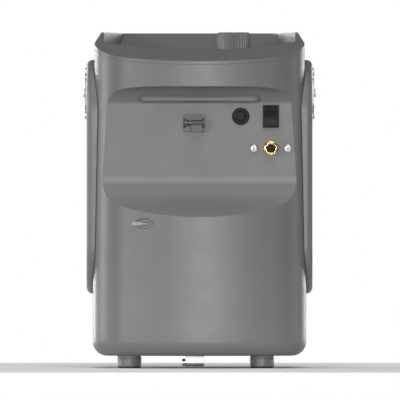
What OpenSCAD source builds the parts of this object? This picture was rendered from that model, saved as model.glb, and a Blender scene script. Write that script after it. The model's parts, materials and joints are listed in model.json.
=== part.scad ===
// Oxygen concentrator: casing, controls and working internals.
// Millimetres, +Z up. The origin is on the floor under the middle of the casing; the control side faces -Y.

/* [Casing] */
// Width of the casing at its base
body_w = 196; // [194:1:200]
// Depth of the casing from front to rear
body_d = 190; // [188:1:194]
// Height of the top deck above the floor
body_h = 308.5; // [306:0.5:312]
// Height of the casing's underside above the floor
base_z = 11.4; // [10:0.2:12]
// Wall thickness of the moulded shells
wall = 3; // [2.6:0.2:3.2]
// Radius of the bowed front face, seen from above
front_r = 250; // [240:5:280]
// Radius of the front upright corners
corner_r = 40; // [38:1:42]
// Radius of the rear upright corners
rear_r = 30; // [26:1:32]
// Radius round the bottom edge
hem_r = 13; // [10:1:14]

/* [Top] */
// Height of the crease where the sloped bezel starts at the front
crease_z = 281.4; // [280:0.2:283]
// Slope of the bezel above the horizontal
bezel_a = 20; // [18:1:22]
// Height of the control well's floor
well_z = 276; // [275:0.5:278]
// Distance of the flow knob's axis right of the middle
knob_x = 31.3; // [25:0.1:38]
// Diameter of the flow knob over its ribs
knob_d = 31; // [28:0.5:33]

/* [Recess] */
// Height of the recess's roof edge at the front
roof_z = 258.3; // [257:0.1:259]
// Height of the recess's lower lip at the front
lip_z = 138.7; // [137:0.1:140]
// Height of the switch and the fuse holder
control_z = 231; // [229:0.5:233]
// Distance of the switch right of the middle
switch_x = 65.4; // [64:0.1:67]
// Distance of the fuse holder right of the middle
fuse_x = 37.7; // [36:0.1:39]
// Height of the oxygen outlet
outlet_z = 201.5; // [199:0.5:204]
// Spacing of the outlet's two screws
outlet_pitch = 31.2; // [31:0.1:33]

/* [Side pads] */
// Width of the casing over both side pads
over_pads = 207.6; // [207:0.2:210]
// Lowest point of a side pad
pad_low = 68.2; // [66:0.2:72]
// Highest point of a side pad
pad_high = 283.2; // [281:0.2:285]

/* [Feet] */
// Diameter of a foot
foot_d = 22; // [20:1:24]
// Thickness of a foot's rubber pad
rubber_t = 1.2; // [1:0.2:2]
// Distance of the feet from the middle, front to rear
foot_y = 60; // [55:1:62]

/* [Hidden] */

$fn = 48;
eps = 0.05;                                // smallest gap left between pieces that touch
half_w = body_w / 2;
half_d = body_d / 2;
half_pads = over_pads / 2;
side_lean = 1.5;                           // how much narrower each side is at the crease than at the base
lean_z = 75;                               // height where the sides start to lean in
shoulder_z = body_h - 10.2;                // height where the side and rear chamfers start
shoulder_in = 6.1;                         // how far the side chamfer comes in
rear_in = 9;                               // how far the rear chamfer comes in
deck_y = -half_d + (body_h - crease_z) / tan(bezel_a);     // where the bezel meets the flat deck
cover_t = 3;                               // depth of the top cover's edge, square to the bezel
bow_y = -half_d + front_r;                 // centre of the bowed front
corner_x = half_w - corner_r;
corner_y = bow_y - sqrt(pow(front_r - corner_r, 2) - pow(corner_x, 2));
corner_a = atan2(corner_y - bow_y, corner_x);
roof_r = 17;                               // radius under the recess's roof
roof_y = -half_d + 2;                      // centre of that radius
wall_low = [-half_d + 23.6, lip_z + 35.3];   // depth and height where the recess wall starts to turn out
heel_pull = [[0, -16], [14, 13.3]];        // how far the heel's curve is pulled from the wall and from the lip
seam_gap = 0.15;                           // half the gap between the two housings
plate_in = 16;                             // how far the base plate lies inside the casing's outline
rear_wall_y = half_d - wall;
screw_r = 2;
boss_x = half_w - 9.5;
boss_z = [40, 262];
well_rear_y = 72;                          // where the control well ends at the rear
well_slope_y = 8;                          // where its floor starts to rise
left_foot_x = -64.6;
right_foot_x = 57.5;
steel = [0.78, 0.79, 0.8];
shell_grey = [0.53, 0.53, 0.53];
black = [0.06, 0.06, 0.06];
brass = [0.78, 0.6, 0.28];
cast = [0.62, 0.63, 0.65];
function arc(c, r, a0, a1, n) =
    [for (i = [0:n]) let (a = a0 + (a1 - a0) * i / n) [c[0] + r * cos(a), c[1] + r * sin(a)]];
function bow(n) =
    [for (i = [1:n - 1]) let (a = -180 - corner_a + (2 * corner_a + 180) * i / n)
        [front_r * cos(a), bow_y + front_r * sin(a)]];
// Cubic curve between a and d, pulled towards b and c
function curve(a, b, c, d, n) = [for (i = [0:n]) let (t = i / n, u = 1 - t)
    u * u * u * a + 3 * u * u * t * b + 3 * u * t * t * c + t * t * t * d];
// Depth of the recess wall's face at a height between the heel and the roof
function wall_y(z) =
    let (low = wall_low, high = [roof_y + roof_r, roof_z - roof_r])
    low[0] + (high[0] - low[0]) * (z - low[1]) / (high[1] - low[1]);
// Depth of the bowed front face at a distance from the middle

// ---- Outlines ----

// Casing seen from above
module plan_2d() polygon(concat(
    bow(14),
    arc([corner_x, corner_y], corner_r, corner_a, 0, 9),
    arc([half_w - rear_r, half_d - rear_r], rear_r, 0, 90, 8),
    arc([rear_r - half_w, half_d - rear_r], rear_r, 90, 180, 8),
    arc([-corner_x, corner_y], corner_r, 180, 180 - corner_a, 9)));

// Casing seen from the front
module front_2d() polygon(concat(
    arc([half_w - hem_r, base_z + hem_r], hem_r, -90, 0, 6),
    [[half_w, lean_z], [half_w - side_lean, crease_z], [half_w - side_lean, shoulder_z],
     [half_w - side_lean - shoulder_in, body_h], [side_lean + shoulder_in - half_w, body_h],
     [side_lean - half_w, shoulder_z], [side_lean - half_w, crease_z], [-half_w, lean_z]],
    arc([hem_r - half_w, base_z + hem_r], hem_r, 180, 270, 6)));

// Casing seen from the side: first number is Y, second is Z
module side_2d() polygon(concat(
    arc([half_d - hem_r, base_z + hem_r], hem_r, -90, 0, 6),
    [[half_d, shoulder_z], [half_d - rear_in, body_h], [deck_y, body_h], [-half_d, crease_z]],
    arc([hem_r - half_d, base_z + hem_r], hem_r, 180, 270, 6)));

// Side profile of the scooped recess
module scoop_2d() polygon(concat(
    [[-half_d - 20, roof_z]],
    arc([roof_y, roof_z - roof_r], roof_r, 90, 0, 6),
    curve(wall_low, wall_low + heel_pull[0], [-half_d, lip_z] + heel_pull[1], [-half_d, lip_z], 8),
    [[-half_d - 20, lip_z]]));

// Side profile of everything above the top cover's seam
module above_seam_2d(gap = 0)
    let (rise = cover_t / cos(bezel_a) - gap, flat_z = shoulder_z - 3 + gap,
         meet_y = -half_d + (flat_z - crease_z + rise) / tan(bezel_a))
    polygon([[-half_d - 5, crease_z - rise - 5 * tan(bezel_a)], [meet_y, flat_z], [half_d + 5, flat_z],
             [half_d + 5, body_h + 20], [-half_d - 5, body_h + 20]]);

// Control well seen from above
module well_2d() offset(r = 9) offset(delta = -9) polygon(concat(
    [for (x = [-84:12:84]) [x, -half_d + 30 + x * x / 400]],
    [[88, -24], [87, -14], [71, well_rear_y], [-71, well_rear_y], [-87, -14], [-88, -24]]));

// Side profile of the control well, its floor and slope moved out by t
module well_side_2d(t) let (rise = (body_h - well_z) / (well_rear_y - well_slope_y), z = well_z - t)
    polygon([[-half_d, z], [well_slope_y, z], [well_rear_y + 30, z + rise * (well_rear_y + 30 - well_slope_y)],
             [well_rear_y + 30, body_h + 40], [-half_d, body_h + 40]]);

// Eye-shaped pocket of the cannula barb, seen from the front
module eye_2d() translate([-51, 132.75]) intersection() {
    translate([0, 6.3]) circle(r = 11.1);
    translate([0, -6.3]) circle(r = 11.1);
}

// Side pad, seen from the side
module pad_2d() let (top_r = 48, low_r = 44, spread = 16) hull() for (s = [-1, 1]) {
    translate([s * spread, pad_high - top_r]) circle(r = top_r, $fn = 64);
    translate([s * spread, pad_low + low_r]) circle(r = low_r, $fn = 64);
}

// ---- Forms shared by several pieces ----

module along_x(length) translate([-length / 2, 0, 0]) rotate([90, 0, 90]) linear_extrude(length) children();
module along_y(from, to) translate([0, to, 0]) rotate([90, 0, 0]) linear_extrude(to - from) children();
module rod_x(r, from, to) translate([from, 0, 0]) rotate([0, 90, 0]) cylinder(r = r, h = to - from);
module rod_y(r, from, to) translate([0, from, 0]) rotate([-90, 0, 0]) cylinder(r = r, h = to - from);
module box(low, high) translate(low) cube(high - low);

// The casing as a solid without its recess, its surface moved in by t
module envelope(t) intersection() {
    linear_extrude(400) offset(delta = -t) plan_2d();
    along_y(-120, 120) offset(delta = -t) front_2d();
    along_x(240) offset(delta = -t) side_2d();
}

// The casing as a solid with its recess
module body_form(t) difference() {
    envelope(t);
    along_x(240) offset(delta = t) scoop_2d();
}
module shell() difference() {
    body_form(0);
    body_form(wall);
}
module above_seam(gap) along_x(260) above_seam_2d(gap);

// The control well as a solid, its walls moved out by t
module well_form(t) intersection() {
    linear_extrude(400) offset(delta = t) well_2d();
    along_x(260) well_side_2d(t);
}

// Opening in the floor of the casing, closed by the base plate
module floor_opening(gap) linear_extrude(base_z + 20) offset(delta = gap - plate_in) plan_2d();

// A piece that stands on the recess wall, its back cut to the wall's slope
module on_recess_wall() difference() {
    children();
    translate([0, -eps, 0]) intersection() {
        body_form(0);
        box([-90, -half_d, 160], [90, -50, roof_z + 4]);
    }
}

// ---- Casing ----

// Pieces of the front wall that are cut through for the fittings
module front_openings() {
    box([switch_x - 7, -90, control_z - 10.1], [switch_x + 7, -60, control_z + 10.1]);
    translate([fuse_x, 0, control_z]) rod_y(6.2, -90, -60);
    translate([0, 0, outlet_z]) {
        translate([switch_x, 0, 0]) rod_y(6, -90, -60);
        for (s = [-1, 1]) translate([switch_x + s * outlet_pitch / 2, 0, 0]) rod_y(screw_r + 0.2, -90, -60);
    }
}

module front_housing() color(shell_grey) difference() {
    union() {
        difference() {
            shell();
            box([-150, -seam_gap, 0], [150, 150, 400]);
        }
        // Lining of the barb's pocket
        intersection() {
            along_y(-half_d, -80) offset(delta = 2) eye_2d();
            envelope(1);
        }
        // Bosses that the housing screws bite into
        intersection() {
            envelope(1);
            for (s = [-1, 1], z = boss_z) translate([s * boss_x, 0, z]) {
                rod_y(5, -30, -seam_gap);
                box([s > 0 ? 0 : -9, -30, -2.4], [s > 0 ? 9 : 0, -seam_gap, 2.4]);
            }
        }
    }
    above_seam(-eps);
    front_openings();
    along_y(-half_d - 5, -82) eye_2d();
    floor_opening(0.2);
    for (s = [-1, 1], z = boss_z) translate([s * boss_x, 0, z]) rod_y(screw_r, -22, 1);
}

module rear_housing() color(shell_grey) difference() {
    union() {
        difference() {
            shell();
            box([-150, -150, 0], [150, seam_gap, 400]);
        }
        // Tunnels that take the housing screws from behind
        for (s = [-1, 1], z = boss_z) translate([s * boss_x, 0, z]) rod_y(6, seam_gap, 70);
    }
    above_seam(-eps);
    floor_opening(0.2);
    for (s = [-1, 1], z = boss_z) translate([s * boss_x, 0, z]) {
        rod_y(screw_r + 0.3, -1, 20);
        rod_y(4.4, 8, half_d + 5);
    }
    // Openings for the filter cover, the power inlet and the exhaust grille
    box([-44.3, 80, 239.7], [44.3, 100, 284.3]);
    box([-14.2, 80, 101.5], [14.2, 100, 122.5]);
    box([-31.3, 80, 27.7], [31.3, 100, 90.3]);
}

module top_cover() color(shell_grey) difference() {
    union() {
        intersection() {
            shell();
            above_seam(eps);
        }
        // Tub of the control well
        intersection() {
            well_form(wall);
            envelope(0);
        }
    }
    well_form(0);
    translate([knob_x, -20, well_z - 10]) cylinder(r = 4.05, h = 30);
    for (i = [0:2]) translate([-30 + i * 14, -20, well_z - 10]) cylinder(r = 2.6, h = 30);
}

module base_plate() color(shell_grey) difference() {
    translate([0, 0, base_z]) linear_extrude(4) offset(delta = -plate_in) plan_2d();
    // Intake slots between the feet
    for (i = [-3:3]) box([i * 9 - 1.5, -15, 0], [i * 9 + 1.5, 30, 30]);
}

module side_panel(s) color(shell_grey) difference() {
    intersection() {
        translate([s * (half_pads - 6), 0, 0]) along_x(12) pad_2d();
        // Bevel round the pad's outer edge
        union() {
            translate([s * (half_pads - 8.5), 0, 0]) along_x(12) pad_2d();
            translate([s * (half_pads - 6), 0, 0]) along_x(12) offset(delta = -3) pad_2d();
        }
    }
    envelope(-0.1);
    for (p = side_screw_places) translate([0, p[0], p[1]])
        rod_x(screw_r + 0.2, s > 0 ? 90 : -120, s > 0 ? 120 : -90);
}
module side_panel_left() side_panel(-1);
module side_panel_right() side_panel(1);

side_screw_places = [[0, 272.1], [-10, 252.7], [10, 252.7], [0, 232.4]];
module side_screws(s) color(steel) for (p = side_screw_places)
    translate([0, p[0], p[1]]) let (seat = p[0] == 0 ? half_pads + eps : half_pads + 1.6 + 2 * eps)
        mirror([s < 0 ? 1 : 0, 0, 0]) {
            difference() {
                rod_x(3.75, seat, half_pads + 2.5 + (p[0] == 0 ? 0 : 1));
                box([half_pads + 1.8, -0.5, -2.6], [half_pads + 5, 0.5, 2.6]);
                box([half_pads + 1.8, -2.6, -0.5], [half_pads + 5, 2.6, 0.5]);
            }
            rod_x(screw_r, half_w - 0.9, seat);
        }
module side_screws_left() side_screws(-1);
module side_screws_right() side_screws(1);

module strap_anchor(s) color(steel) mirror([s < 0 ? 1 : 0, 0, 0]) difference() {
    translate([half_pads + 0.8 + eps, 0, 251.7]) along_x(1.6) hull() for (y = [-12, 12]) {
        translate([y, 8.3]) circle(r = 7);
        translate([y, -8.3]) circle(r = 7);
    }
    for (y = [-10, 10]) translate([0, y, 252.7]) rod_x(screw_r + 0.2, 95, 115);
    translate([0, 0, 251.5]) rod_x(4, 95, 115);
}
module strap_anchor_left() strap_anchor(-1);
module strap_anchor_right() strap_anchor(1);

module each_foot() for (x = [left_foot_x, right_foot_x], y = [-foot_y, foot_y]) translate([x, y, 0]) children();
module feet() color(shell_grey) each_foot() translate([0, 0, rubber_t]) cylinder(d = foot_d, h = base_z - rubber_t);
module foot_pads() color(black) each_foot() cylinder(d = foot_d - 0.6, h = rubber_t);

lug_z = 5.2;
module docking_lug() color(cast) difference() {
    union() {
        box([-13, -62, 4.5], [4.2, -42, base_z]);
        translate([0, -52, lug_z]) rod_x(3.7, -13, 4.2);
    }
    translate([0, -52, lug_z]) rod_x(2.6, -20, 20);
}
module docking_pin() color(steel) translate([0, -52, lug_z]) {
    rod_x(2.55, -15.8, 3.6);
    rod_x(3.4, -15.8, -13.1);
}

module housing_screws() color(steel) for (s = [-1, 1], z = boss_z) translate([s * boss_x, 0, z]) {
    rod_y(screw_r - 0.05, -18, 8.1);
    rod_y(3.8, 8.1, 11);
}

// ---- Recess ----

module grip_bar() color(shell_grey) on_recess_wall() along_x(114.4) hull() {
    translate([-80.5, 252.4]) circle(r = 4);
    translate([-72, 250.15]) square([4, 13.7], center = true);
    translate([-78.5, 245.8]) circle(r = 2.5);
}

catch_x = -5;
catch_y = -84;
catch_z = 224.9;
module catch_bracket() color(shell_grey * 0.7) difference() {
    union() {
        on_recess_wall() box([catch_x - 9.6, -78, 216.8], [catch_x + 9.6, -70, 232.7]);
        for (s = [-1, 1]) translate([catch_x + s * 8.6, 0, 0]) {
            translate([0, catch_y, catch_z]) rod_x(4, -1, 1);
            box([-1, catch_y, 220.9], [1, -78, 228.9]);
        }
    }
    translate([0, catch_y, catch_z]) rod_x(1.55, -30, 20);
}
module catch_pin() color(steel) translate([0, catch_y, catch_z]) rod_x(1.5, catch_x - 9.8, catch_x + 9.8);
module catch_lever() color(shell_grey * 0.7) difference() {
    union() {
        translate([0, catch_y, catch_z]) rod_x(2.75, catch_x - 2.5, catch_x + 7.2);
        box([catch_x - 2.5, catch_y - 2, 216.8], [catch_x + 7.2, catch_y, catch_z]);
    }
    translate([0, catch_y, catch_z]) rod_x(1.55, -30, 20);
}
module catch_spring() color(steel) translate([0, catch_y, catch_z]) for (i = [0:2])
    translate([catch_x - 6.6 + i * 1.5, 0, 0]) rotate([0, 90, 0])
        rotate_extrude() translate([2.3, 0]) circle(r = 0.6, $fn = 24);

module fuse_holder() color(black) difference() {
    union() {
        on_recess_wall() translate([fuse_x, 0, control_z]) rod_y(7.9, -78.5, -74);
        translate([fuse_x, 0, control_z]) rod_y(6, -78, -42);
    }
    translate([fuse_x, 0, control_z]) rod_y(5.1, -80, -45);
}
module fuse_cap() color(black) translate([fuse_x, 0, control_z]) difference() {
    union() {
        rod_y(4.9, -80, -77.5);
        rod_y(4.4, -77.6, -72);
    }
    box([-3.6, -81, -0.6], [3.6, -79, 0.6]);
    rod_y(2.65, -76.5, -70);
}
module fuse_link() color([0.8, 0.9, 0.9]) translate([fuse_x, 0, control_z]) rod_y(2.45, -70.9, -60.1);
module fuse_end_caps() color(steel) translate([fuse_x, 0, control_z]) {
    rod_y(2.6, -76.4, -71);
    rod_y(2.6, -60, -54);
}

pivot_y = -72;
rocker_tilt = 10;
module switch_body() color(black) difference() {
    union() {
        on_recess_wall() box([switch_x - 7.5, -77.6, control_z - 10.5], [switch_x + 7.5, -75, control_z + 10.5]);
        box([switch_x - 6.7, -77, control_z - 9.8], [switch_x + 6.7, -52, control_z + 9.8]);
    }
    box([switch_x - 5.8, -90, control_z - 9.2], [switch_x + 5.8, -64, control_z + 9.2]);
    translate([switch_x, pivot_y, control_z]) rod_x(1.25, -6.5, 6.5);
}
module switch_rocker() color(black) translate([switch_x, pivot_y, control_z]) rotate([rocker_tilt, 0, 0]) {
    along_x(11.2) polygon([[-7.6, 7.6], [-6.2, 0], [-7.6, -7.6], [-1, -6.4], [3, -2.5], [3, 2.5], [-1, 6.4]]);
    rod_x(1.2, -6.3, 6.3);
}

outlet_y = wall_y(outlet_z);
module outlet_fitting() color(brass) translate([switch_x, 0, outlet_z]) difference() {
    union() {
        rod_y(6.9, outlet_y - 3.5, outlet_y - 1.2);
        rod_y(5.5, outlet_y - 12, outlet_y - 3);
        rod_y(5.8, outlet_y - 2, outlet_y + 16);
    }
    rod_y(3.85, outlet_y - 20, outlet_y + 10);
    rod_y(2, outlet_y, outlet_y + 30);
}
// Sealing washer behind the flange, and the valve disc at the bottom of the bore
module outlet_gasket() color(black) {
    difference() {
        on_recess_wall() translate([switch_x, 0, outlet_z]) rod_y(6.9, outlet_y - 1.15, outlet_y + 2);
        translate([switch_x, 0, outlet_z]) rod_y(5.85, -90, -60);
    }
    translate([switch_x, 0, outlet_z]) rod_y(3.75, outlet_y + 2, outlet_y + 9.9);
}
module outlet_bracket() color(steel) translate([switch_x, 0, outlet_z]) difference() {
    box([-21, outlet_y + 4.2, -9], [21, outlet_y + 6.7, 9]);
    rod_y(5.85, -90, -50);
    for (s = [-1, 1]) translate([s * outlet_pitch / 2, 0, 0]) rod_y(screw_r + 0.05, -90, -50);
}
module outlet_screws() color(steel) for (s = [-1, 1]) translate([switch_x + s * outlet_pitch / 2, 0, outlet_z]) {
    difference() {
        rod_y(3.8, outlet_y - 2.9, outlet_y - 0.6);
        box([-2.5, -90, -0.45], [2.5, outlet_y - 1.9, 0.45]);
        box([-0.45, -90, -2.5], [0.45, outlet_y - 1.9, 2.5]);
    }
    rod_y(screw_r, outlet_y - 0.7, outlet_y + 9);
}

// Slanted hose barb that points out of its pocket to the left
module cannula_barb() color(cast) translate([-47.8, -84, 132.4]) rotate([0, 0, 26]) difference() {
    union() {
        rod_x(1.5, -15.5, 0);
        for (i = [0:2]) translate([-15 + i * 3, 0, 0]) rotate([0, 90, 0]) cylinder(r1 = 1.5, r2 = 2.1, h = 2.4);
    }
    rod_x(0.8, -20, -6);
}

// ---- Control well ----

module flow_knob() color(shell_grey) translate([knob_x, -20, well_z]) difference() {
    translate([0, 0, 1.5]) linear_extrude(body_h - well_z - 1.5) polygon([
        for (i = [0:95]) let (r = knob_d / 2 - (i % 4 < 2 ? 0 : 1.1)) [r * cos(i * 3.75), r * sin(i * 3.75)]]);
    translate([0, 0, -1]) cylinder(r = 4.05, h = 24);
    // Thumb dish and pointer groove in the top
    translate([0, 0, body_h - well_z - 1.5]) difference() {
        cylinder(r = knob_d / 2 - 3, h = 5);
        box([-1.5, -14, -1], [1.5, 14, 6]);
    }
}
module valve_spindle() color(steel) translate([knob_x, -20, well_z - 22]) cylinder(r = 4, h = 44);
module flow_valve() color(brass) translate([knob_x, -20, 0]) difference() {
    union() {
        translate([0, 0, well_z - 32]) cylinder(r = 13, h = 32 - wall - eps);
        translate([0, 0, well_z - 26]) rod_x(3, -24, 24);
    }
    translate([0, 0, well_z - 22.1]) cylinder(r = 4.05, h = 40);
    translate([0, 0, well_z - 26]) rod_x(1.5, -30, 30);
}
module status_lenses() color([0.75, 0.8, 0.75]) for (i = [0:2]) translate([-30 + i * 14, -20, 0]) {
    translate([0, 0, well_z - 8]) cylinder(r = 2.5, h = 8 + 2 * eps);
    translate([0, 0, well_z + eps]) cylinder(r = 3.4, h = 1.2);
}

// ---- Rear ----

inlet_z = 112;
module power_inlet() color(black) translate([0, 0, inlet_z]) difference() {
    box([-13.9, 68, -10.2], [13.9, half_d - 0.2, 10.2]);
    box([-12, 78, -8], [12, half_d + 5, 8]);
    for (x = [-7, 0, 7]) translate([x, 0, x == 0 ? 2.5 : -1]) box([-1, 66, -2.1], [1, 80, 2.1]);
}
module inlet_contacts() color(brass) for (x = [-7, 0, 7]) translate([x, 0, inlet_z + (x == 0 ? 2.5 : -1)])
    box([-0.95, 66, -2], [0.95, 91, 2]);

module louvre_plate(w, h, bars) difference() {
    box([-w / 2, rear_wall_y, -h / 2], [w / 2, half_d, h / 2]);
    for (i = [0:bars - 1]) let (z = (i - (bars - 1) / 2) * (h - 10) / bars)
        box([5 - w / 2, rear_wall_y - 1, z - 1.5], [w / 2 - 5, half_d + 1, z + 1.5]);
}
module filter_cover() color(shell_grey) translate([0, 0, 262]) louvre_plate(88, 44, 6);
module intake_filter() color([0.2, 0.2, 0.2]) box([-42, 83.6, 242], [42, 91.5, 282]);
module filter_frame() color(black) difference() {
    box([-47, 80.5, 237], [47, 91.6, 287]);
    box([-42.4, 83.5, 241.6], [42.4, 95, 282.4]);
    for (x = [-35:10:35]) box([x - 2.5, 75, 245], [x + 2.5, 85, 279]);
}
module exhaust_grille() color(shell_grey) translate([0, 0, 59]) louvre_plate(62, 62, 9);

fan_z = 59;
module fan_shroud() color(black) translate([0, 0, fan_z]) difference() {
    box([-29, 72, -29], [29, 88, 29]);
    difference() {
        rod_y(27, 71, 89);
        rod_y(9.4, 84.5, 90);
        for (a = [0:90:270]) rotate([0, a, 0]) box([-1.5, 85, 8], [1.5, 88, 28]);
    }
    rod_y(1.55, 80, 90);
}
module fan_rotor() color(black) translate([0, 0, fan_z]) {
    rod_y(9.2, 73, 84);
    rod_y(1.5, 83, 88);
    for (a = [0:40:320]) rotate([0, a, 0]) translate([0, 78.5, 8.5])
        rotate([0, 0, 35]) box([-6, -0.7, 0], [6, 0.7, 17]);
}

// ---- Compressor ----

comp_y = -22;
comp_z = 76;
crank_x = 56;
throw = 3;
module at_comp() translate([0, comp_y, comp_z]) children();
module compressor_motor() color(cast) at_comp() difference() {
    union() {
        rod_x(33, -33.9, 33.9);
        for (a = [0:20:340]) rotate([a, 0, 0]) box([-28, -0.8, 32], [28, 0.8, 35]);
    }
    rod_x(5.05, -40, 40);
}
module crankcase() at_comp() difference() {
    union() {
        box([34, -25, -28], [76, 25, 30]);
        translate([crank_x, 0, 29]) cylinder(r = 18, h = 16);
    }
    rod_x(24, 42, 70);
    rod_x(6, 30, 72);
    translate([crank_x, 0, 5]) cylinder(r = 14, h = 60);
}
module crankcase_right() color(cast) crankcase();
module crankcase_left() color(cast) mirror([1, 0, 0]) crankcase();
module crankshaft() color(steel) at_comp() {
    rod_x(5, -69, 69);
    for (s = [-1, 1]) translate([s * crank_x, s * throw, 0]) rod_x(13, -4, 4);
}
module pistons() color(cast) at_comp() for (s = [-1, 1]) translate([s * crank_x, 0, 0]) {
    difference() {
        rod_x(20.5, -3.5, 3.5);
        rod_x(16.6, -5, 5);
    }
    translate([0, 0, 18.4]) cylinder(r = 3.4, h = 16);
    translate([0, 0, 34]) cylinder(r = 13.9, h = 6);
}
module cylinder_heads() color(cast) at_comp() for (s = [-1, 1]) translate([s * crank_x, 0, 45.1]) {
    cylinder(r = 18, h = 4);
    for (i = [-3:3]) box([-16, i * 4.6 - 0.9, 3.9], [16, i * 4.6 + 0.9, 16]);
}
module compressor_bracket() color(steel) difference() {
    union() {
        box([-78, comp_y - 30, 36], [78, comp_y + 30, 39]);
        for (s = [-1, 1]) box([s * 56 - 14, comp_y - 14, 38], [s * 56 + 14, comp_y + 14, comp_z - 28 - eps]);
    }
    for (x = [-66, 66], y = [-24, 24]) translate([x, comp_y + y, 30]) cylinder(r = 2.2, h = 20);
}
module rubber_mounts() color(black) for (x = [-66, 66], y = [-24, 24]) translate([x, comp_y + y, 0]) {
    translate([0, 0, 18.6]) cylinder(r = 8, h = 17.3);
    translate([0, 0, 35]) cylinder(r = 2, h = 6);
}

// ---- Gas path and electronics ----

module sieve_beds() color(cast) for (s = [-1, 1]) translate([s * 54, 55, 0]) {
    translate([0, 0, 24]) cylinder(r = 25, h = 202);
    for (z = [19, 224]) translate([0, 0, z]) cylinder(r = 26.5, h = 6);
    translate([0, 0, 229]) cylinder(r = 4, h = 8);
}
module product_tank() color(cast) translate([0, 58, 134]) {
    translate([0, 0, 5]) cylinder(r = 21, h = 86);
    for (z = [0, 88]) translate([0, 0, z]) cylinder(r = 22, h = 6);
    translate([0, 0, 94]) cylinder(r = 3, h = 8);
}
module valve_manifold() color(brass) {
    box([-34, 6, 146], [34, 24, 166]);
    for (x = [-25.5:17:25.5]) translate([x, 15, 165.9]) {
        cylinder(r = 7.5, h = 26);
        translate([0, 0, 25]) cylinder(r = 3, h = 5);
    }
}
module cooling_coil() color([0.75, 0.45, 0.3]) translate([0, 0, fan_z]) {
    for (y = [44:8:68]) translate([0, y, 0]) rotate([90, 0, 0])
        rotate_extrude() translate([19, 0]) circle(r = 2.5, $fn = 24);
    translate([19, 0, 0]) rod_y(2, 44, 68);
}
module intake_muffler() color(black) translate([-10, 30, 250]) {
    rod_x(11, -40, 30);
    rod_x(3, -48, 38);
}
module product_filter() color([0.85, 0.86, 0.87]) translate([65, -20, 190]) {
    cylinder(r = 12, h = 10);
    translate([0, 0, -9]) cylinder(r = 2.5, h = 28);
}

// Straight runs along a list of points, joined by slightly thicker elbow balls
module hose(points, r) {
    for (i = [0:len(points) - 2]) let (d = points[i + 1] - points[i])
        translate(points[i]) rotate([0, acos(d[2] / norm(d)), atan2(d[1], d[0])]) cylinder(r = r, h = norm(d));
    for (i = [1:len(points) - 2]) translate(points[i]) sphere(r = r + 0.3);
}
module hoses() color([0.8, 0.8, 0.78]) {
    hose([[65, -20, 209.5], [65, -20, 232], [62, -20, 250], [55.6, -20, 250]], 3);
    hose([[0, 58, 236.3], [0, 58, 243], [0, 46, 239], [0, 20, 228]], 3);
    hose([[-56, -3.6, 127], [-56, 10, 127], [-56, 16, 140], [-46, 16, 154], [-34.3, 16, 154]], 3);
}
module control_board() color([0.1, 0.35, 0.2]) {
    box([-84, -6, 150], [-6, -4.4, 236]);
    for (i = [0:2]) box([-78 + i * 24, -16, 158], [-62 + i * 24, -6, 172]);
    box([-80, -22, 185], [-50, -6, 225]);
}
post_x = 80.6;                             // chassis posts, between the compressor's tray and the screw bosses
post_w = 4.6;
module chassis() color(steel) difference() {
    union() {
        box([-80, -56, 15.6], [80, 84, 18.5]);
        box([-86, -2, 138], [86, -0.4, 240]);
        for (s = [-1, 1]) box([s * post_x - post_w / 2, -2, 15.6], [s * post_x + post_w / 2, -0.4, 139]);
    }
    for (s = [-1, 1]) translate([s * 54, 55, 0]) cylinder(r = 20, h = 30);
    for (i = [-3:3]) box([i * 9 - 1.5, -15, 0], [i * 9 + 1.5, 30, 30]);
}

front_housing();
rear_housing();
top_cover();
base_plate();
side_panel_left();
side_panel_right();
side_screws_left();
side_screws_right();
strap_anchor_left();
strap_anchor_right();
feet();
foot_pads();
docking_lug();
docking_pin();
grip_bar();
catch_bracket();
catch_pin();
catch_lever();
catch_spring();
fuse_holder();
fuse_cap();
fuse_link();
fuse_end_caps();
switch_body();
switch_rocker();
outlet_fitting();
outlet_gasket();
outlet_bracket();
outlet_screws();
cannula_barb();
flow_knob();
valve_spindle();
flow_valve();
status_lenses();
power_inlet();
inlet_contacts();
filter_cover();
intake_filter();
filter_frame();
exhaust_grille();
fan_shroud();
fan_rotor();
housing_screws();
compressor_motor();
crankcase_left();
crankcase_right();
crankshaft();
pistons();
cylinder_heads();
compressor_bracket();
rubber_mounts();
sieve_beds();
product_tank();
valve_manifold();
cooling_coil();
intake_muffler();
product_filter();
hoses();
control_board();
chassis();
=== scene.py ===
import json
import math
import bmesh
import bpy
from mathutils import Matrix, Vector


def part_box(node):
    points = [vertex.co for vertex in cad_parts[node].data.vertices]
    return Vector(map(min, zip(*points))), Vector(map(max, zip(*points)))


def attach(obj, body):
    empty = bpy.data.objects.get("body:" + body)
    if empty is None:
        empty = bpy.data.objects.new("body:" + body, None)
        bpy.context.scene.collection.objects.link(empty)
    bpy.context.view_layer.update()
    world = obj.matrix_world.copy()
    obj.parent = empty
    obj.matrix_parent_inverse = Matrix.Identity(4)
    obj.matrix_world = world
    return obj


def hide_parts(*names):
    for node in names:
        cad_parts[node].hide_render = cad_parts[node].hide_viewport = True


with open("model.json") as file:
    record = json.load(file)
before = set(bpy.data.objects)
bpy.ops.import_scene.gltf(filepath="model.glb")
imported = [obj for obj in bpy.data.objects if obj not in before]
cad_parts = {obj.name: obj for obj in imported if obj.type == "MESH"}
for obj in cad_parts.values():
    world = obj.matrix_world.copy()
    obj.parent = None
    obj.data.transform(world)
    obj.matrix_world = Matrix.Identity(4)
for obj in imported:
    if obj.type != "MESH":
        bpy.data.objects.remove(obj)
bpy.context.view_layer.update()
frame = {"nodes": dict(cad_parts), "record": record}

# ---------------------------------------------------------------- dimensions, in millimetres, from the frame
MM = 0.001


def node_box(node):
    """Lowest and highest corner of a CAD node, in millimetres."""
    low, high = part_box(node)
    return low / MM, high / MM


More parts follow.
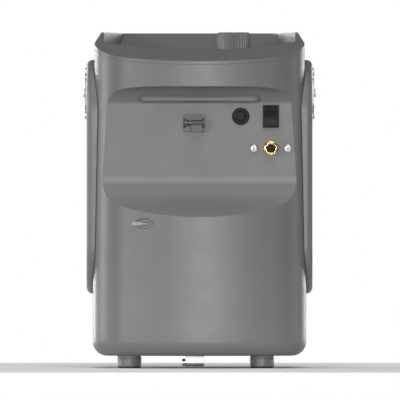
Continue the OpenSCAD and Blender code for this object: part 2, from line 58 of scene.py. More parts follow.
rear_low, rear_high = node_box("rear_housing")
HALF_W, HALF_D, BASE_Z = rear_high.x, rear_high.y, rear_low.z
TOP_Z = node_box("top_cover")[1].z
WALL = 3.0
FRONT_R, CORNER_R, REAR_R, HEM_R = 250.0, 40.0, 30.0, 13.0      # bowed front, upright corners, bottom edge
CREASE_Z, BEZEL_A = 281.4, math.radians(20)                     # where the sloped bezel starts, and its slope
LEAN_Z, SIDE_LEAN = 75.0, 1.5                                   # the sides lean in above this height
SHOULDER_Z, SHOULDER_IN, REAR_IN = TOP_Z - 10.2, 6.1, 9.0       # chamfer round the deck
ROOF_Z, ROOF_R, LIP_Z = 258.3, 17.0, 138.7                      # recess profile
WALL_LOW = Vector((23.6 - HALF_D, LIP_Z + 35.3))                # where the recess wall starts to turn out
LIP_AT = Vector((-HALF_D, LIP_Z))
WELL_Z = TOP_Z - 32.5                                           # floor of the control well
WELL_REAR_Y, WELL_SLOPE_Y = 72.0, 8.0                           # its rear end and its floor's rise
SEAM = 0.15                                                     # half the gap between the two housings
FIT = 0.3                                                       # gap round a piece set into the casing
SPAN = 120                                                      # half length of a cutter that runs right across
WALL_FRONT_Y, WALL_BACK_Y = -90, -60                            # reach of a cutter through the recess wall
AXIS_R = 0.001                                                  # radius of a turned profile's point on the axis


# ---------------------------------------------------------------- mesh helpers
def arc(cx, cy, r, a0, a1, n):
    """Points on an arc, angles in degrees."""
    steps = (math.radians(a0 + (a1 - a0) * i / n) for i in range(n + 1))
    return [(cx + r * math.cos(a), cy + r * math.sin(a)) for a in steps]


def line(p, q, n):
    """Points between p and q, without either end."""
    return [(p[0] + (q[0] - p[0]) * i / n, p[1] + (q[1] - p[1]) * i / n) for i in range(1, n)]


def make(name, verts, faces, smooth=35):
    """An object from points in millimetres, smooth except at edges sharper than the angle."""
    mesh = bpy.data.meshes.new(name)
    mesh.from_pydata([Vector(v) * MM for v in verts], [], faces)
    obj = bpy.data.objects.new(name, mesh)
    bpy.context.scene.collection.objects.link(obj)
    tidy(obj, smooth)
    return obj


def tidy(obj, smooth=35):
    """Merges doubled points, turns the faces outwards and marks sharp edges."""
    bm = bmesh.new()
    bm.from_mesh(obj.data)
    bmesh.ops.remove_doubles(bm, verts=bm.verts, dist=1e-6)
    bmesh.ops.recalc_face_normals(bm, faces=bm.faces)
    limit = math.radians(smooth)
    for face in bm.faces:
        face.smooth = True
    for edge in bm.edges:
        edge.smooth = len(edge.link_faces) == 2 and edge.calc_face_angle(0) < limit
    bm.to_mesh(obj.data)
    bm.free()


def loft(name, rings, smooth=35):
    """A closed skin through rings of equal length, with flat ends."""
    n = len(rings[0])
    verts = [p for ring in rings for p in ring]
    faces = [tuple(range(n))[::-1], tuple(range(len(verts) - n, len(verts)))]
    for k in range(len(rings) - 1):
        for i in range(n):
            j = (i + 1) % n
            faces.append((k * n + i, k * n + j, k * n + n + j, k * n + n + i))
    return make(name, verts, faces, smooth)


def prism(name, outline, axis, start, end):
    """An outline extruded along an axis. Its two numbers are the other two axes, in X, Y, Z order."""
    def place(p, h):
        return {"X": (h, p[0], p[1]), "Y": (p[0], h, p[1]), "Z": (p[0], p[1], h)}[axis]
    return loft(name, [[place(p, h) for p in outline] for h in (start, end)])


def block(name, low, high):
    return prism(name, [(low[0], low[1]), (high[0], low[1]), (high[0], high[1]), (low[0], high[1])],
                 "Z", low[2], high[2])


AXES = {"+X": (1, 0, 0), "-X": (-1, 0, 0), "+Y": (0, 1, 0), "-Y": (0, -1, 0), "+Z": (0, 0, 1)}


def lathe(name, centre, axis, profile, seg=64, smooth=35, waves=0, depth=0):
    """Turns a closed (radius, height) profile round an axis. waves cuts that many flutes of that depth."""
    turn = Vector((0, 0, 1)).rotation_difference(Vector(AXES.get(axis, axis))).to_matrix()
    verts, faces = [], []
    for i in range(seg):
        a = 2 * math.pi * i / seg
        for p in profile:
            r, h = p[0], p[1]
            if waves and len(p) > 2:
                r -= depth * p[2] * (0.5 - 0.5 * math.cos(waves * a)) ** 0.7
            verts.append(turn @ Vector((r * math.cos(a), r * math.sin(a), h)) + Vector(centre))
    n = len(profile)
    for i in range(seg):
        j = (i + 1) % seg
        for k in range(n):
            m = (k + 1) % n
            faces.append((i * n + k, j * n + k, j * n + m, i * n + m))
    return make(name, verts, faces, smooth)


def cut(target, *tools, op="DIFFERENCE", smooth=35):
    """Applies boolean tools to the target, and removes them."""
    for tool in tools:
        mod = target.modifiers.new("cut", "BOOLEAN")
        mod.operation, mod.solver, mod.object = op, "EXACT", tool
    graph = bpy.context.evaluated_depsgraph_get()
    mesh = bpy.data.meshes.new_from_object(target.evaluated_get(graph))
    target.modifiers.clear()
    target.data = mesh
    for tool in tools:
        bpy.data.objects.remove(tool)
    tidy(target, smooth)
    return target


def copy_of(obj, name):
    twin = obj.copy()
    twin.data = obj.data.copy()
    twin.name = name
    bpy.context.scene.collection.objects.link(twin)
    return twin


def join(name, parts, smooth=35):
    """One object from several."""
    bm = bmesh.new()
    for part in parts:
        bm.from_mesh(part.data)
    mesh = bpy.data.meshes.new(name)
    bm.to_mesh(mesh)
    bm.free()
    for part in parts:
        bpy.data.objects.remove(part)
    obj = bpy.data.objects.new(name, mesh)
    bpy.context.scene.collection.objects.link(obj)
    tidy(obj, smooth)
    return obj


# ---------------------------------------------------------------- materials
class Nodes:
    """A short way to build a material's node tree."""

    def __init__(self, name):
        self.mat = bpy.data.materials.new(name)
        self.mat.use_nodes = True
        self.tree = self.mat.node_tree
        self.bsdf = self.tree.nodes["Principled BSDF"]
        self.place = self.add("ShaderNodeTexCoord").outputs["Object"]

    def add(self, kind, **values):
        node = self.tree.nodes.new(kind)
        for key, value in values.items():
            if key in node.inputs:
                node.inputs[key].default_value = value
            else:
                setattr(node, key, value)
        return node

    def link(self, a, b):
        self.tree.links.new(a, b)

    def noise(self, scale, detail=3.0, stretch=None):
        node = self.add("ShaderNodeTexNoise", Scale=scale, Detail=detail)
        if stretch:
            mapping = self.add("ShaderNodeMapping", Scale=stretch)
            self.link(self.place, mapping.inputs["Vector"])
            self.link(mapping.outputs["Vector"], node.inputs["Vector"])
        else:
            self.link(self.place, node.inputs["Vector"])
        return node.outputs["Fac"]

    def ramp(self, factor, low, high, start=0.3, end=0.7):
        node = self.add("ShaderNodeValToRGB")
        node.color_ramp.elements[0].position, node.color_ramp.elements[1].position = start, end
        node.color_ramp.elements[0].color = (*low, 1)
        node.color_ramp.elements[1].color = (*high, 1)
        self.link(factor, node.inputs["Fac"])
        return node.outputs["Color"]

    def span(self, factor, low, high):
        node = self.add("ShaderNodeMapRange")
        node.inputs["To Min"].default_value, node.inputs["To Max"].default_value = low, high
        self.link(factor, node.inputs["Value"])
        return node.outputs["Result"]

    def bump(self, height, strength, distance, edge=0.0):
        node = self.add("ShaderNodeBump", Strength=strength, Distance=distance)
        self.link(height, node.inputs["Height"])
        if edge:
            rounder = self.add("ShaderNodeBevel", Radius=edge, samples=4)
            self.link(rounder.outputs["Normal"], node.inputs["Normal"])
        self.link(node.outputs["Normal"], self.bsdf.inputs["Normal"])


def shade(rgb, factor):
    return tuple(min(1.0, c * factor) for c in rgb)


def moulded(name, rgb, rough=0.42, grain=1400, depth=0.00004, edge=0.0007, specular=0.5):
    """Injection-moulded plastic: fine spark-eroded grain, faint blotches in colour and gloss."""
    m = Nodes(name)
    blotch = m.noise(14, 4)
    m.link(m.ramp(blotch, shade(rgb, 0.96), shade(rgb, 1.03)), m.bsdf.inputs["Base Color"])
    m.link(m.span(m.noise(60, 3), rough - 0.04, rough + 0.05), m.bsdf.inputs["Roughness"])
    m.bsdf.inputs["Specular IOR Level"].default_value = specular
    m.bump(m.noise(grain, 2), 0.35, depth, edge)
    return m.mat


def metal(name, rgb, rough=0.25, stretch=(1, 1, 30), grain=120, edge=0.0003):
    """Worked metal: streaks along the tool's path, and painted shade that makes the colour darker in their low
    spots.
    """
    m = Nodes(name)
    # painted shade: this noise sets both the colour and the bump height, so the colour is darker where the
    # surface is low
    streak_and_shade = m.noise(grain, 3, stretch)
    m.link(m.ramp(streak_and_shade, shade(rgb, 0.88), shade(rgb, 1.06)), m.bsdf.inputs["Base Color"])
    m.bsdf.inputs["Metallic"].default_value = 1.0
    m.link(m.span(streak_and_shade, rough - 0.07, rough + 0.1), m.bsdf.inputs["Roughness"])
    m.bump(streak_and_shade, 0.12, 0.00003, edge)
    return m.mat


def rubber(name, rgb, rough=0.75):
    m = Nodes(name)
    m.link(m.ramp(m.noise(90, 4), shade(rgb, 0.8), shade(rgb, 1.3)), m.bsdf.inputs["Base Color"])
    m.link(m.span(m.noise(300, 2), rough - 0.08, rough + 0.08), m.bsdf.inputs["Roughness"])
    m.bump(m.noise(1800, 2), 0.4, 0.00005, 0.0003)
    return m.mat


def clear(name, rgb):
    m = Nodes(name)
    m.link(m.ramp(m.noise(40, 2), shade(rgb, 0.95), shade(rgb, 1.0)), m.bsdf.inputs["Base Color"])
    m.link(m.span(m.noise(200, 2), 0.08, 0.16), m.bsdf.inputs["Roughness"])
    m.bsdf.inputs["Transmission Weight"].default_value = 0.6
    m.bump(m.noise(500, 2), 0.05, 0.00002)
    return m.mat


def foam(name, rgb):
    m = Nodes(name)
    cells = m.add("ShaderNodeTexVoronoi", Scale=700.0)
    m.link(m.place, cells.inputs["Vector"])
    # painted shade: the cell centres, which the bump sinks into pits, are painted darker than the ridges
    # between them
    colour = m.ramp(cells.outputs["Distance"], shade(rgb, 0.4), shade(rgb, 1.4), 0.1, 0.6)
    m.link(colour, m.bsdf.inputs["Base Color"])
    m.bsdf.inputs["Roughness"].default_value = 0.95
    m.bump(cells.outputs["Distance"], 0.8, 0.0004)
    return m.mat


SHELL = moulded("shell_plastic", (0.15, 0.15, 0.151), 0.4)
SLOTS = {
    "shell_plastic": SHELL,
    "knob_plastic": moulded("knob_plastic", (0.16, 0.16, 0.16), 0.4, 1800),
    "dark_plastic": moulded("dark_plastic", (0.09, 0.09, 0.092), 0.4, 1800, edge=0.0004),
    "black_plastic": moulded("black_plastic", (0.01, 0.01, 0.011), 0.5, 2200, 0.00002, 0.0003, 0.25),
    "bright_steel": metal("bright_steel", (0.78, 0.78, 0.79), 0.24),
    "outlet_brass": metal("outlet_brass", (0.86, 0.62, 0.27), 0.2, (30, 1, 1)),
    "cast_aluminium": metal("cast_aluminium", (0.55, 0.55, 0.57), 0.48, (1, 1, 1), 700, 0.0004),
    "black_rubber": rubber("black_rubber", (0.018, 0.018, 0.019)),
    "clear_lens": clear("clear_lens", (0.75, 0.85, 0.78)),
    "barb_plastic": moulded("barb_plastic", (0.42, 0.42, 0.43), 0.3, 2200, edge=0.0003),
    "copper": metal("copper", (0.85, 0.48, 0.32), 0.28, (1, 30, 1)),
    "board_green": moulded("board_green", (0.02, 0.14, 0.06), 0.35, 900, 0.00003, 0.0002),
}
FOAM = foam("filter_foam", (0.03, 0.03, 0.032))
DARK_STEEL = metal("dark_steel", (0.2, 0.2, 0.205), 0.42, (30, 1, 1))
SCREW_STEEL = metal("screw_steel", (0.72, 0.72, 0.73), 0.4, (1, 1, 1), 300)
CATCH = moulded("catch_plastic", (0.055, 0.055, 0.056), 0.42, 1800, edge=0.0004)
ANCHOR_STEEL = metal("anchor_steel", (0.5, 0.5, 0.51), 0.5, (1, 1, 6), 200)
OWN_MATERIAL = {
    "intake_filter": FOAM,
    "catch_pin": DARK_STEEL,
    "catch_bracket": CATCH,
    "catch_lever": CATCH,
    "strap_anchor_left": ANCHOR_STEEL,
    "strap_anchor_right": ANCHOR_STEEL,
}
node_slot = {row["node"]: row["material_slot"] for row in frame["record"]["subparts"]}
for node, obj in frame["nodes"].items():
    obj.data.materials.clear()
    obj.data.materials.append(OWN_MATERIAL.get(node, SLOTS[node_slot[node]]))


def piece(obj, *nodes, body="casing", material=None):
    """Finishes a piece: material, slot, body, and the CAD nodes that it stands for."""
    slot_name = node_slot[nodes[0]]
    obj.data.materials.clear()
    obj.data.materials.append(material or SLOTS[slot_name])
    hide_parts(*nodes)
    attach(obj, body)
    return obj


# ---------------------------------------------------------------- casing
BOW_Y = FRONT_R - HALF_D
CORNER_X = HALF_W - CORNER_R
CORNER_Y = BOW_Y - math.sqrt((FRONT_R - CORNER_R) ** 2 - CORNER_X ** 2)
CORNER_A = math.degrees(math.atan2(CORNER_Y - BOW_Y, CORNER_X))


def plan(inset):
    """The casing's outline from above, moved in by inset."""
    rear_x, rear_y = HALF_W - REAR_R, HALF_D - REAR_R
    bow = arc(0, BOW_Y, FRONT_R - inset, -180 - CORNER_A, CORNER_A, 72)
    right = arc(CORNER_X, CORNER_Y, CORNER_R - inset, CORNER_A, 0, 22)
    rear_right = arc(rear_x, rear_y, REAR_R - inset, 0, 90, 16)
    rear_left = arc(-rear_x, rear_y, REAR_R - inset, 90, 180, 16)
    left = arc(-CORNER_X, CORNER_Y, CORNER_R - inset, 180, 180 - CORNER_A, 22)
    return (bow[:-1] + right + line(right[-1], rear_right[0], 12) + rear_right
            + line(rear_right[-1], rear_left[0], 14) + rear_left + line(rear_left[-1], left[0], 12) + left[:-1])


def casing_form(name, t):
    """The casing as one closed form, its surface moved in by t."""
    rings = []

    def ring(inset, z, k=0.0):
        lean = SIDE_LEAN * min(1.0, max(0.0, (z - LEAN_Z) / (CREASE_Z - LEAN_Z)))
        sx = (HALF_W - lean - SHOULDER_IN * k) / HALF_W
        sy = (HALF_D - REAR_IN * k) / HALF_D
        rings.append([(x * sx, y * (sy if y > 0 else 1.0), z) for x, y in plan(inset)])

    for i in range(9):
        a = math.radians(90 * i / 8)
        ring(t + (HEM_R - t) * (1 - math.sin(a)), BASE_Z + HEM_R - (HEM_R - t) * math.cos(a))
    start, steps = BASE_Z + HEM_R, 34
    for i in range(1, steps + 1):
        ring(t, start + (SHOULDER_Z - t - start) * i / steps)
    for i in range(1, 4):
        ring(t, SHOULDER_Z - t + (TOP_Z - SHOULDER_Z) * i / 3, i / 3)
    return loft(name, rings)


def scoop_profile(t):
    """The recess's side profile, grown by t, as (y, z)."""
    roof = arc(2 - HALF_D, ROOF_Z - ROOF_R, ROOF_R + t, 90, 0, 20)
    pulled = [WALL_LOW, WALL_LOW + Vector((0, -16)), LIP_AT + Vector((14, 13.3)), LIP_AT]
    heel = []
    for i in range(25):
        u, v = 1 - i / 24, i / 24
        weights = (u ** 3, 3 * u * u * v, 3 * u * v * v, v ** 3)
        point = sum((w * q for w, q in zip(weights, pulled)), Vector((0, 0)))
        along = (3 * u * u * (pulled[1] - pulled[0]) + 6 * u * v * (pulled[2] - pulled[1])
                 + 3 * v * v * (pulled[3] - pulled[2])).normalized()
        heel.append((point.x - t * along.y, point.y + t * along.x))
    return [(-HALF_D - 20, ROOF_Z + t)] + roof + heel + [(-HALF_D - 20, heel[-1][1])]


def well_outline(t):
    """The control well from above, its walls moved out by t, with rounded corners."""
    front = [(x, -HALF_D + 30 + x * x / 400.0) for x in range(-78, 79, 6)]
    right = arc(78.5, -40.5, 9.5, -48, 5, 10) + arc(78.5, -22, 9.5, 5, 14, 3)
    rear = arc(62, WELL_REAR_Y - 9, 9, 10, 90, 12)
    points = front + right + rear
    points += [(-x, y) for x, y in rear[::-1]] + [(-x, y) for x, y in right[::-1]]
    n = len(points)
    grown = []
    for i, (x, y) in enumerate(points):
        ax, ay = points[i - 1]
        bx, by = points[(i + 1) % n]
        dx, dy = bx - ax, by - ay
        size = math.hypot(dx, dy) or 1.0
        grown.append((x + t * dy / size, y - t * dx / size))
    return grown


def well_form(name, t):
    """The control well as a solid, its walls moved out by t: a flat floor that slopes up to the rear."""
    z, rear = WELL_Z - t, WELL_REAR_Y + 30
    rise = (TOP_Z - WELL_Z) / (WELL_REAR_Y - WELL_SLOPE_Y)
    side = [(-HALF_D, z), (WELL_SLOPE_Y, z), (rear, z + rise * (rear - WELL_SLOPE_Y)), (rear, TOP_Z + 60),
            (-HALF_D, TOP_Z + 60)]
    return cut(prism(name, well_outline(t), "Z", z - 1, TOP_Z + 30), prism("side", side, "X", -SPAN, SPAN),
               op="INTERSECT")


def bezel_profile(rise=0.0):
    """Everything above the bezel and the deck, as (y, z)."""
    meet = -HALF_D + (TOP_Z + 30 - CREASE_Z) / math.tan(BEZEL_A)
    return [(-HALF_D - 20, CREASE_Z + rise - 20 * math.tan(BEZEL_A)), (meet, TOP_Z + 30 + rise),
            (-HALF_D - 20, TOP_Z + 60)]


def eye_outline(t):
    """The barb's pocket from the front: two arcs that meet in points."""
    up, r = 6.3, 11.1 + t
    half = math.degrees(math.acos(up / r))
    top = arc(-51, 132.75 - up, r, 90 - half, 90 + half, 12)
    low = arc(-51, 132.75 + up, r, 270 - half, 270 + half, 12)
    return top[:-1] + low[:-1]


def above_seam(rise):
    """The space of the top cover, which starts at the crease."""
    flat = SHOULDER_Z - 3
    meet = -HALF_D + (flat - CREASE_Z) / math.tan(BEZEL_A)
    tan = math.tan(BEZEL_A)
    outline = [(-HALF_D - 5, CREASE_Z - rise - 5 * tan), (meet, flat - rise), (HALF_D + 5, flat - rise),
               (HALF_D + 5, TOP_Z + 20), (-HALF_D - 5, TOP_Z + 20)]
    return prism("above_seam", outline, "X", -130, 130)


def make_casing():
    """Front housing, rear housing and top cover, parted from one carved form so that their surfaces run on."""
    form = casing_form("form", 0)
    cut(form, prism("scoop", scoop_profile(0), "X", -SPAN, SPAN),
        prism("bezel", bezel_profile(), "X", -SPAN, SPAN))
    hollow = casing_form("hollow", WALL)
    slope = WALL / math.cos(BEZEL_A)
    cut(hollow, prism("scoop", scoop_profile(WALL), "X", -SPAN, SPAN),
        prism("bezel", bezel_profile(-slope), "X", -SPAN, SPAN),
        well_form("tub", WALL),
        prism("eye_lining", eye_outline(2), "Y", -HALF_D, -80))
    cut(form, hollow, well_form("well", 0),
        prism("eye", eye_outline(0), "Y", -HALF_D - 5, -82))
    top = cut(copy_of(form, "top_cover_shell"), above_seam(3.2), op="INTERSECT")
    lower = cut(form, above_seam(3.2))
    floor_hole = prism("floor_hole", plan(15.8), "Z", 0, 24)
    cut(lower, floor_hole)
    front = copy_of(lower, "front_shell")
    cut(front, block("rear_half", (-130, -SEAM, 0), (130, 130, 400)))
    cut(lower, block("front_half", (-130, -130, 0), (130, SEAM, 400)))
    lower.name = "rear_shell"
    return front, lower, top


def opening(node, grow, depth):
    """A cutter round a node's box."""
    low, high = node_box(node)
    mid = (low.y + high.y) / 2
    return block("opening", (low.x - grow, mid - depth, low.z - grow),
                 (high.x + grow, mid + depth, high.z + grow))


def hole(x, z, r, y0, y1):
    return prism("hole", arc(x, z, r, 0, 352.5, 47), "Y", y0, y1)


switch_low, switch_high = node_box("switch_body")
fuse_low, fuse_high = node_box("fuse_holder")
outlet_low, outlet_high = node_box("outlet_fitting")
switch_mid = (switch_low + switch_high) / 2
fuse_mid = (fuse_low + fuse_high) / 2
outlet_mid = (outlet_low + outlet_high) / 2
OUTLET_PITCH = 31.2

front_shell, rear_shell, top_shell = make_casing()
SWITCH_HOLE_W, SWITCH_HOLE_H = 7, 10.1                          # half sizes
cut(front_shell,
    block("switch_hole", (switch_mid.x - SWITCH_HOLE_W, WALL_FRONT_Y, switch_mid.z - SWITCH_HOLE_H),
          (switch_mid.x + SWITCH_HOLE_W, WALL_BACK_Y, switch_mid.z + SWITCH_HOLE_H)),
    hole(fuse_mid.x, fuse_mid.z, 6.2, WALL_FRONT_Y, WALL_BACK_Y),
    hole(outlet_mid.x, outlet_mid.z, 6.0, WALL_FRONT_Y, WALL_BACK_Y),
    *[hole(outlet_mid.x + s * OUTLET_PITCH / 2, outlet_mid.z, 2.2, WALL_FRONT_Y, WALL_BACK_Y) for s in (-1, 1)])
cut(rear_shell, opening("filter_cover", FIT, 8), opening("exhaust_grille", FIT, 8),
    block("inlet_hole", (-14.2, 80, 101.5), (14.2, 100, 122.5)),
    *[hole(s * (HALF_W - 9.5), z, 4.4, 12, 100) for s in (-1, 1) for z in (40, 262)])
knob_low, knob_high = node_box("flow_knob")
LENS_XS = [-30 + i * 14 for i in range(3)]
KNOB_X, KNOB_Y = (knob_low.x + knob_high.x) / 2, (knob_low.y + knob_high.y) / 2
cut(top_shell, prism("stem_hole", arc(KNOB_X, KNOB_Y, 4.05, 0, 352.5, 47), "Z", WELL_Z - 10, WELL_Z + 20),
    *[prism("lens_hole", arc(x, KNOB_Y, 2.6, 0, 350, 35), "Z", WELL_Z - 10, WELL_Z + 20) for x in LENS_XS])
piece(front_shell, "front_housing")
piece(rear_shell, "rear_housing")
piece(top_shell, "top_cover")


# ---------------------------------------------------------------- side pads
def pad(side, node):
    """A thick pad whose edge is rounded and whose back follows the casing."""
    low, high = node_box(node)
    outer = max(abs(low.x), abs(high.x))
    spread, top_r, low_r, edge = 16.0, 48.0, 44.0, 5.6

    def outline(inset):
        return (arc(spread, high.z - top_r, top_r - inset, 0, 90, 20)
                + arc(-spread, high.z - top_r, top_r - inset, 90, 180, 20)
                + arc(-spread, low.z + low_r, low_r - inset, 180, 270, 20)
                + arc(spread, low.z + low_r, low_r - inset, 270, 360, 20))

    stations = [(0, outer - 14), (0, outer - edge)]
    for angle in (math.radians(10 * i) for i in range(1, 10)):
        stations.append((edge * (1 - math.cos(angle)), outer - edge + edge * math.sin(angle)))
    rings = [[(side * x, y, z) for y, z in outline(inset)] for inset, x in stations]
    obj = loft("pad_left" if side < 0 else "pad_right", rings)
    return piece(cut(obj, casing_form("body", -0.35)), node)


pad(-1, "side_panel_left")
pad(1, "side_panel_right")


# ---------------------------------------------------------------- fasteners
HEAD_R = 3.9


def pan_screw(centre, axis, r=HEAD_R, h=2.5, shank=0.0, shank_r=1.9):
    """A pan-head screw with a cross recess. centre is on the seat, and the axis points out of the head."""
    dome = [(r * math.cos(math.radians(a)) ** 0.75, 0.7 + (h - 0.7) * math.sin(math.radians(a)))
            for a in range(0, 90, 10)]
    profile = [(0, -shank), (shank_r, -shank), (shank_r, 0), (r - 0.25, 0), (r, 0.25)] + dome + [(AXIS_R, h)]
    obj = lathe("screw", (0, 0, 0), "+Z", profile, 48)
    recess = [(-3.4, h + 1), (0, h - 2), (3.4, h + 1)]
    for across in "XY":
        cut(obj, prism("arm", recess, across, -0.45, 0.45))
    turn = Vector((0, 0, 1)).rotation_difference(Vector(AXES[axis])).to_matrix().to_4x4()
    obj.data.transform(Matrix.Translation(Vector(centre) * MM) @ turn)
    return obj


PAD_X = node_box("side_panel_right")[1].x
for side, axis, node in ((-1, "-X", "side_screws_left"), (1, "+X", "side_screws_right")):
    seats = [(0, 272.1, 0.05), (0, 232.4, 0.05), (-10, 252.7, 1.7), (10, 252.7, 1.7)]
    heads = [pan_screw((side * (PAD_X + lift), y, z), axis, HEAD_R, 2.4 if lift < 1 else 1.8)
             for y, z, lift in seats]
    piece(join(node + "_heads", heads), node, material=SCREW_STEEL)

seat_y = node_box("outlet_screws")[0].y + 2.3
outlet_heads = [pan_screw((outlet_mid.x + s * OUTLET_PITCH / 2, seat_y, outlet_mid.z), "-Y", HEAD_R, 2.2, 8)
                for s in (-1, 1)]
piece(join("outlet_screw_pair", outlet_heads), "outlet_screws", material=SCREW_STEEL)


# ---------------------------------------------------------------- feet
def foot(x, y, low, high):
    """A foot with a chamfered rim and a shallow groove above it."""
    r = 11.0
    return lathe("foot", (x, y, 0), "+Z", [
        (0, low), (r - 0.9, low), (r, low + 0.9), (r, high - 2.6), (r - 0.5, high - 2.2), (r - 0.5, high - 0.6),
        (r - 0.2, high), (0, high)], 56)


def foot_pad(x, y, low, high):
    r = 10.4
    return lathe("foot_pad", (x, y, 0), "+Z", [
        (0, low), (r - 0.5, low), (r, low + 0.4), (r, high), (0, high)], 56)


FEET = [(x, y) for x in (-64.6, 57.5) for y in (-60, 60)]
foot_low, foot_high = node_box("feet")
pads_low, pads_high = node_box("foot_pads")
piece(join("foot_set", [foot(x, y, foot_low.z, foot_high.z) for x, y in FEET]), "feet")
piece(join("foot_pad_set", [foot_pad(x, y, pads_low.z, pads_high.z) for x, y in FEET]), "foot_pads")


# ---------------------------------------------------------------- recess fittings
def wall_y(z):
    """Depth of the recess wall's face at a height."""
    low_y, low_z = WALL_LOW
    high_y, high_z = 2 - HALF_D + ROOF_R, ROOF_Z - ROOF_R
    return low_y + (high_y - low_y) * (z - low_z) / (high_z - low_z)


fuse_at = (fuse_mid.x, 0, fuse_mid.z)
fuse_wall = wall_y(fuse_mid.z)
fuse_ring_profile = [
    (5.15, 45), (5.15, -fuse_wall + 2.6), (5.6, -fuse_wall + 3.1), (6.9, -fuse_wall + 3.1),
    (7.9, -fuse_wall + 2.0), (7.9, -fuse_wall + 0.1), (6, -fuse_wall + 0.1), (6, 42),
    (AXIS_R, 42), (AXIS_R, 45)]
piece(lathe("fuse_ring", fuse_at, "-Y", fuse_ring_profile, 72), "fuse_holder")
cap = lathe("fuse_cap_head", fuse_at, "-Y", [
    (2.65, 72), (2.65, 76.5), (AXIS_R, 76.5), (AXIS_R, 80), (3.6, 80), (4.5, 79.6), (4.9, 79.1, 1),
    (4.9, 77.5, 1), (4.4, 77.5), (4.4, 72)],
    96, waves=24, depth=0.35)
cut(cap, block("coin_slot", (fuse_mid.x - 3.4, -81, fuse_mid.z - 0.6),
               (fuse_mid.x + 3.4, -79, fuse_mid.z + 0.6)))
piece(cap, "fuse_cap", body="fuse_cap")

outlet_at = (outlet_mid.x, 0, outlet_mid.z)
outlet_wall = -wall_y(outlet_mid.z)
threads = []
for i in range(5):
    start = outlet_wall + 4.6 + i * 1.2
    threads += [(5.05, start), (5.5, start + 0.35), (5.5, start + 0.6), (5.05, start + 0.95)]
outlet_profile = [
    (2, outlet_wall - 16), (5.8, outlet_wall - 16), (5.8, outlet_wall + 1.2), (6.4, outlet_wall + 1.2),
    (6.9, outlet_wall + 1.6), (6.9, outlet_wall + 3.0), (6.4, outlet_wall + 3.5), (5.2, outlet_wall + 3.6)]
outlet_profile += threads
outlet_profile += [
    (5.3, outlet_wall + 11.2), (4.9, outlet_wall + 12), (4.3, outlet_wall + 12), (3.85, outlet_wall + 11.5),
    (3.85, outlet_wall - 9.5), (2, outlet_wall - 10)]
piece(lathe("oxygen_outlet", outlet_at, "-Y", outlet_profile, 96, smooth=50), "outlet_fitting")


def rocker():
    """A rocker with a hollow face, rounded ends and two pivot stubs, resting at its off tilt."""
    rest = Matrix.Rotation(math.radians(10), 4, "X")
    half, face = 5.6, []
    for i in range(17):
        s = i / 8 - 1
        face.append((-6.1 - 1.5 * s * s, 7.6 * s))
    outline = face + [(-1.4, 6.6), (2.6, 3), (3, 0), (2.6, -3), (-1.4, -6.6)]
    obj = prism("rocker", outline, "X", -half, half)
    pins = lathe("pins", (0, 0, 0), "+X", [(AXIS_R, -6.3), (1.2, -6.3), (1.2, 6.3), (AXIS_R, 6.3)], 32)
    cut(obj, pins, op="UNION")
    pivot = Vector((switch_mid.x, -72, switch_mid.z)) * MM
    obj.data.transform(Matrix.Translation(pivot) @ rest)
    return obj


piece(rocker(), "switch_rocker", body="rocker")


def helix(name, centre, radius, wire, pitch, turns, seg=24):
    """A coil of round wire along X."""
    rings, steps = [], int(turns * seg)
    for i in range(steps + 1):
        a = 2 * math.pi * i / seg
        out = Vector((0, math.cos(a), math.sin(a)))
        mid = Vector(centre) + out * radius + Vector((pitch * i / seg, 0, 0))
        rings.append([tuple(mid + out * wire * math.cos(b) + Vector((1, 0, 0)) * wire * math.sin(b))
                      for b in (2 * math.pi * k / 10 for k in range(10))])
    return loft(name, rings, 60)


spring_low, spring_high = node_box("catch_spring")
PIN_Y, PIN_Z = (spring_low.y + spring_high.y) / 2, (spring_low.z + spring_high.z) / 2
spring = helix("spring_coil", (spring_low.x + 0.6, PIN_Y, PIN_Z), radius=2.3, wire=0.55, pitch=1.42, turns=2.15)
piece(spring, "catch_spring", material=DARK_STEEL)

bar_low, bar_high = node_box("grip_bar")


def grip_bar():
    """The ledge under the recess's roof, with rounded ends, its back on the wall."""
    half, stations, rings = bar_high.x, 24, []
    mid_z, tall = (bar_low.z + bar_high.z) / 2, (bar_high.z - bar_low.z) / 2
    for i in range(stations + 1):
        s = -1 + 2 * i / stations
        s = math.copysign(1 - (1 - abs(s)) ** 2, s)
        end = max(0.0, (abs(s) * half - (half - 8)) / 8)
        scale = math.sqrt(max(0.02, 1 - end ** 2.2))
        ring = []
        for a in range(0, 360, 15):
            c, d = math.cos(math.radians(a)), math.sin(math.radians(a))
            depth = 8.5 * scale * (0.72 - 0.28 * d) if c > 0 else -3.0
            ring.append((s * half, -74 - depth * abs(c) ** 0.6, mid_z + tall * d * (0.35 + 0.65 * scale)))
        rings.append(ring)
    return loft("grip_ledge", rings, 50)


piece(grip_bar(), "grip_bar")

# ---------------------------------------------------------------- control well
floor_z = knob_low.z
KNOB_R, KNOB_TOP = (knob_high.x - knob_low.x) / 2, knob_high.z
knob = lathe("flow_knob_cap", (KNOB_X, KNOB_Y, 0), "+Z", [
    (4.1, floor_z), (KNOB_R - 0.8, floor_z), (KNOB_R, floor_z + 0.8, 1), (KNOB_R, KNOB_TOP - 2.4, 1),
    (KNOB_R - 0.5, KNOB_TOP - 1.0, 1), (KNOB_R - 1.6, KNOB_TOP - 0.2, 0.6), (KNOB_R - 2.8, KNOB_TOP),
    (KNOB_R - 4.0, KNOB_TOP - 0.4), (KNOB_R - 5.0, KNOB_TOP - 1.6), (AXIS_R, KNOB_TOP - 2.2),
    (AXIS_R, KNOB_TOP - 9),
    (4.1, KNOB_TOP - 9)], 288, smooth=60, waves=36, depth=1.1)
cut(knob, block("pointer", (KNOB_X - 0.7, KNOB_Y - KNOB_R - 1, KNOB_TOP - 1.2),
                (KNOB_X + 0.7, KNOB_Y - 4, KNOB_TOP + 2)))
piece(knob, "flow_knob", body="knob")

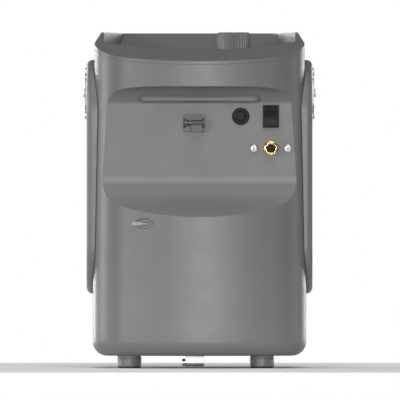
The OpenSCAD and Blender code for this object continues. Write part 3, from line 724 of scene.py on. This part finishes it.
lens_top = node_box("status_lenses")[1].z
lens_profile = [
    (AXIS_R, lens_top - 9.2), (2.5, lens_top - 9.2), (2.5, lens_top - 1.2), (3.4, lens_top - 1.2),
    (3.4, lens_top - 0.7), (2.6, lens_top - 0.25), (1.4, lens_top - 0.04), (AXIS_R, lens_top)]
piece(join("status_lens_set", [lathe("lens", (x, KNOB_Y, 0), "+Z", lens_profile, 40) for x in LENS_XS]),
      "status_lenses")

# Softly broken edges on the CAD pieces that stay in view
for node, width in (("switch_body", 0.5), ("catch_bracket", 0.35), ("catch_lever", 0.3), ("docking_lug", 0.5),
                    ("docking_pin", 0.6), ("strap_anchor_left", 0.35), ("strap_anchor_right", 0.35),
                    ("power_inlet", 0.4), ("inlet_contacts", 0.3), ("filter_cover", 0.35),
                    ("exhaust_grille", 0.35),
                    ("base_plate", 0.5), ("cannula_barb", 0.15), ("catch_pin", 0.2), ("cylinder_heads", 0.3)):
    rounding = frame["nodes"][node].modifiers.new("edges", "BEVEL")
    rounding.width, rounding.segments, rounding.limit_method = width * MM, 2, "ANGLE"
    rounding.angle_limit = math.radians(40)

# ---------------------------------------------------------------- stage, light, camera
FLOOR_HALF, FLOOR_Z = 450, -0.05
corners = ((-1, -1), (1, -1), (1, 1), (-1, 1))
floor = make("floor", [(x * FLOOR_HALF, y * FLOOR_HALF, FLOOR_Z) for x, y in corners], [(0, 1, 2, 3)])
floor_mat = Nodes("floor_paint")
floor_colour = floor_mat.ramp(floor_mat.noise(3, 2), (0.985, 0.985, 0.985), (1.0, 1.0, 1.0))
floor_mat.link(floor_colour, floor_mat.bsdf.inputs["Base Color"])
floor_mat.bsdf.inputs["Roughness"].default_value = 0.9
floor.data.materials.append(floor_mat.mat)


def soft_sun(name, azimuth, elevation, strength, spread):
    """A distant soft light, angles in degrees. Azimuth 0 is in front of the controls, positive to the right."""
    lamp = bpy.data.lights.new(name, "SUN")
    lamp.energy, lamp.angle = strength, math.radians(spread)
    az, el = math.radians(azimuth), math.radians(elevation)
    source = Vector((math.sin(az) * math.cos(el), -math.cos(az) * math.cos(el), math.sin(el)))
    obj = bpy.data.objects.new(name, lamp)
    obj.rotation_euler = source.to_track_quat("Z", "Y").to_euler()
    obj.location = source
    bpy.context.scene.collection.objects.link(obj)


soft_sun("front_key", 2, 2, 1.12, 8)
soft_sun("left_key", -32, 4, 0.68, 10)
soft_sun("front_top", 4, 48, 0.9, 40)
soft_sun("left_rim", -100, 10, 1.4, 20)
soft_sun("right_rim", 100, 10, 0.4, 20)
soft_sun("top_light", 0, 84, 0.4, 25)
soft_sun("rear_left", -148, 6, 0.9, 20)
soft_sun("rear_right", 148, 6, 0.7, 20)

world = bpy.data.worlds.new("studio")
bpy.context.scene.world = world
world.use_nodes = True
tree = world.node_tree
back = tree.nodes["Background"]
back.inputs["Color"].default_value = (1, 1, 1, 1)
back.inputs["Strength"].default_value = 0.12
seen = tree.nodes.new("ShaderNodeBackground")
seen.inputs["Strength"].default_value = 1.0
seen.inputs["Color"].default_value = (1, 1, 1, 1)
mix = tree.nodes.new("ShaderNodeMixShader")
path = tree.nodes.new("ShaderNodeLightPath")
tree.links.new(path.outputs["Is Camera Ray"], mix.inputs["Fac"])
tree.links.new(back.outputs["Background"], mix.inputs[1])
tree.links.new(seen.outputs["Background"], mix.inputs[2])
tree.links.new(mix.outputs["Shader"], tree.nodes["World Output"].inputs["Surface"])
bpy.context.scene.view_settings.view_transform = "Standard"

VIEW_WIDTH = 0.3668            # width of the picture at the recess, in metres
LENS, SENSOR = 1500.0, 36.0
lens = bpy.data.cameras.new("camera")
lens.lens, lens.sensor_width, lens.clip_end = LENS, SENSOR, 100
camera = bpy.data.objects.new("camera", lens)
camera.location = (0.0004, -0.07 - VIEW_WIDTH * LENS / SENSOR, 0.1543)
camera.rotation_euler = (math.radians(90), 0, 0)
bpy.context.scene.collection.objects.link(camera)
bpy.context.scene.camera = camera
